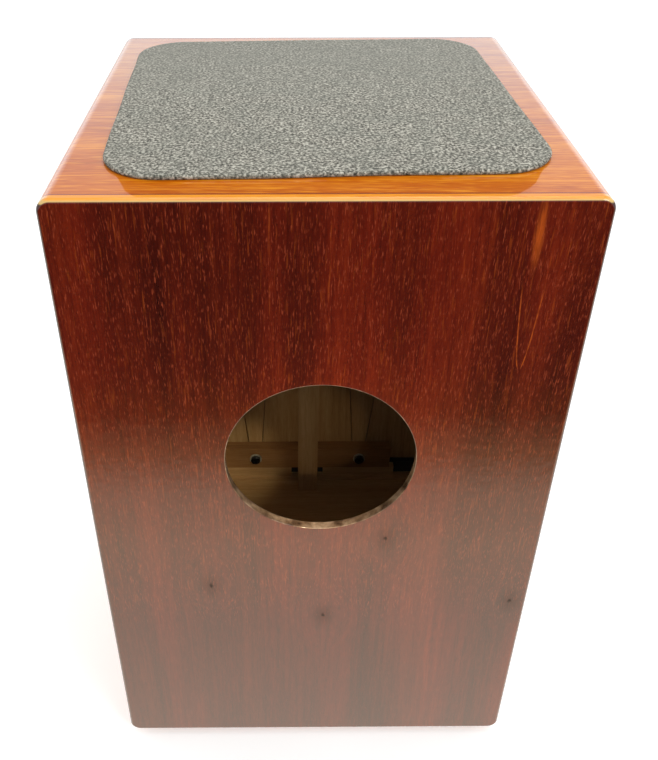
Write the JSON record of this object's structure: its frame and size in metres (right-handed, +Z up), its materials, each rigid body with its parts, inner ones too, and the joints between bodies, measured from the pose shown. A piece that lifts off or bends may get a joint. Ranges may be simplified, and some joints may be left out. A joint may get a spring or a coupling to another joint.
{
  "type": "cajon",
  "caption": "Box drum of glued plywood with a thin playing face, a round sound hole in the rear face, snare strings on tuner bolts, a seat pad and rubber feet.",
  "frame": {"origin": "on the floor, under the middle of the box", "axes": "+Z up; +Y towards the playing face (tapa); the sound hole faces -Y; +X to the right when looking at the sound hole"},
  "size_m": [0.3, 0.3, 0.486],
  "materials": {
    "top_ply": "glossy amber stain",
    "side_ply": "glossy brown stain",
    "back_ply": "glossy dark red-brown stain",
    "tapa_ply": "glossy stain",
    "pale_wood": "unfinished",
    "brown_wood": "unfinished",
    "felt": "matt",
    "pad": "speckled, matt",
    "foot_rubber": "matt",
    "dark_steel": "black oxide",
    "black_screw": "black oxide",
    "zinc": "zinc plated",
    "string_wire": "bright",
    "brass": "plain"
  },
  "bodies": {
    "root": {"top_board": "top_ply", "bottom_board": "side_ply", "left_side": "side_ply", "right_side": "side_ply", "back_panel": "back_ply", "tapa": "tapa_ply", "center_post": "pale_wood", "beam_base_strip": "pale_wood", "beam_block_left": "pale_wood", "beam_block_right": "pale_wood", "string_beam": "brown_wood", "top_anchor_bar": "pale_wood", "felt_strip": "felt", "seat_pad": "pad", "tuner_washer_left": "zinc", "tuner_washer_right": "zinc", "top_ball_ends": "brass", "string_left_outer": "string_wire", "string_left_inner": "string_wire", "string_right_inner": "string_wire", "string_right_outer": "string_wire", "foot_front_left": "foot_rubber", "foot_front_right": "foot_rubber", "foot_rear_left": "foot_rubber", "foot_rear_right": "foot_rubber", "foot_screws": "zinc", "foot_washers": "zinc", "tapa_screws": "black_screw"},
    "tuner_left": {"tuner_bolt_left": "dark_steel"},
    "tuner_right": {"tuner_bolt_right": "dark_steel"},
    "carrier_left": {"string_carrier_left": "zinc", "lower_ball_ends_left": "brass"},
    "carrier_right": {"string_carrier_right": "zinc", "lower_ball_ends_right": "brass"}
  },
  "joints": [
    {"name": "tuner_left_turn", "type": "hinge", "parent": "root", "child": "tuner_left", "pos_m": [-0.055, 0.132, 0.049], "axis": [0, 1, 0], "range_deg": [-540, 540]},
    {"name": "carrier_left_slide", "type": "slide", "parent": "root", "child": "carrier_left", "axis": [0, 1, 0], "range_m": [-0.0015, 0.0015]},
    {"name": "tuner_right_turn", "type": "hinge", "parent": "root", "child": "tuner_right", "pos_m": [0.055, 0.132, 0.049], "axis": [0, 1, 0], "range_deg": [-540, 540]},
    {"name": "carrier_right_slide", "type": "slide", "parent": "root", "child": "carrier_right", "axis": [0, 1, 0], "range_m": [-0.0015, 0.0015]}
  ],
  "couplings": [
    {"joint": "tuner_left_turn", "follows": "carrier_left_slide", "rad_per_m": -6283.2},
    {"joint": "tuner_right_turn", "follows": "carrier_right_slide", "rad_per_m": -6283.2}
  ]
}
